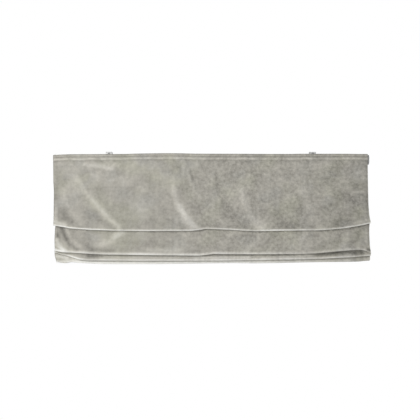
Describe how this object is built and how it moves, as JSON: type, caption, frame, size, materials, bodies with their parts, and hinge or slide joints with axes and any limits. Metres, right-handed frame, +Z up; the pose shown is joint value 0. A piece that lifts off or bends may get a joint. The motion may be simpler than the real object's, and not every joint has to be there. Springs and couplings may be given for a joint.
{
  "type": "roman blind",
  "caption": "Velvet roman blind pulled up into stacked folds, with rods, lift cords and a spring lift in its head rail, hung from clip brackets.",
  "frame": {"origin": "on the wall, midway between the two wall screws", "axes": "+X to the viewer's right along the rail, +Y towards the wall, +Z up"},
  "size_m": [0.8, 0.0465, 0.2871],
  "materials": {
    "velvet": "light warm grey crushed velvet",
    "rail": "white powder coat",
    "rail_plastic": "grey moulded plastic",
    "touch_tape": "white hook and loop tape",
    "cord": "white braided cord",
    "white_plastic": "white moulded plastic",
    "steel": "zinc-plated steel",
    "sleeve": "white woven tape",
    "rod": "white glass-fibre rod",
    "clear_plastic": "milky moulded plastic",
    "bar": "mill aluminium"
  },
  "bodies": {
    "rail": {"headrail": "rail", "end_cap_left": "rail_plastic", "end_cap_right": "rail_plastic", "hook_tape": "touch_tape", "loop_tape": "touch_tape", "velvet": "velvet", "lift_cord_left": "cord", "lift_cord_centre": "cord", "lift_cord_right": "cord", "spool_cradle_left": "white_plastic", "spool_cradle_centre": "white_plastic", "spool_cradle_right": "white_plastic", "spring_motor_case": "white_plastic", "spring_motor_cover": "white_plastic", "mounting_bracket_left": "steel", "mounting_bracket_right": "steel", "latch_rivet_left": "steel", "latch_rivet_right": "steel"},
    "rod_row_1": {"rod_1": "rod", "rod_sleeve_1": "sleeve", "cord_ring_1_left": "clear_plastic", "cord_ring_1_centre": "clear_plastic", "cord_ring_1_right": "clear_plastic"},
    "rod_row_2": {"rod_2": "rod", "rod_sleeve_2": "sleeve", "cord_ring_2_left": "clear_plastic", "cord_ring_2_centre": "clear_plastic", "cord_ring_2_right": "clear_plastic"},
    "rod_row_3": {"rod_3": "rod", "rod_sleeve_3": "sleeve", "cord_ring_3_left": "clear_plastic", "cord_ring_3_centre": "clear_plastic", "cord_ring_3_right": "clear_plastic", "cord_lock_left": "clear_plastic", "cord_lock_centre": "clear_plastic", "cord_lock_right": "clear_plastic", "bottom_bar": "bar", "bottom_bar_cap_left": "clear_plastic", "bottom_bar_cap_right": "clear_plastic"},
    "shaft": {"lift_shaft": "steel", "shaft_bush_left": "white_plastic", "shaft_bush_right": "white_plastic", "spring_motor_hub": "white_plastic", "cord_spool_left": "white_plastic", "cord_spool_centre": "white_plastic", "cord_spool_right": "white_plastic", "cord_turns_left": "cord", "cord_turns_centre": "cord", "cord_turns_right": "cord"},
    "latch_left": {"bracket_latch_left": "steel"},
    "latch_right": {"bracket_latch_right": "steel"}
  },
  "joints": [
    {"name": "top_fold_slide", "type": "slide", "parent": "rail", "child": "rod_row_1", "axis": [0, 0, -1], "range_m": [0, 0.28], "deforming": ["velvet", "lift_cord_left", "lift_cord_centre", "lift_cord_right"]},
    {"name": "middle_fold_slide", "type": "slide", "parent": "rod_row_1", "child": "rod_row_2", "axis": [0, 0, -1], "range_m": [0, 0.378], "deforming": ["velvet", "lift_cord_left", "lift_cord_centre", "lift_cord_right"]},
    {"name": "bottom_fold_slide", "type": "slide", "parent": "rod_row_2", "child": "rod_row_3", "axis": [0, 0, -1], "range_m": [0, 0.378], "deforming": ["velvet", "lift_cord_left", "lift_cord_centre", "lift_cord_right"]},
    {"name": "shaft_spin", "type": "hinge", "parent": "rail", "child": "shaft", "pos_m": [0, -0.0143, -0.0066], "axis": [-1, 0, 0], "range_deg": [0, 10420]},
    {"name": "latch_left_swivel", "type": "hinge", "parent": "rail", "child": "latch_left", "pos_m": [-0.26, -0.0094, 0.0085], "axis": [0, 0, 1], "range_deg": [0, 90]},
    {"name": "latch_right_swivel", "type": "hinge", "parent": "rail", "child": "latch_right", "pos_m": [0.26, -0.0094, 0.0085], "axis": [0, 0, 1], "range_deg": [0, 90]}
  ],
  "couplings": [
    {"joint": "middle_fold_slide", "follows": "top_fold_slide", "ratio": 1.35},
    {"joint": "bottom_fold_slide", "follows": "top_fold_slide", "ratio": 1.35},
    {"joint": "shaft_spin", "follows": "top_fold_slide", "rad_per_m": 649.12}
  ]
}
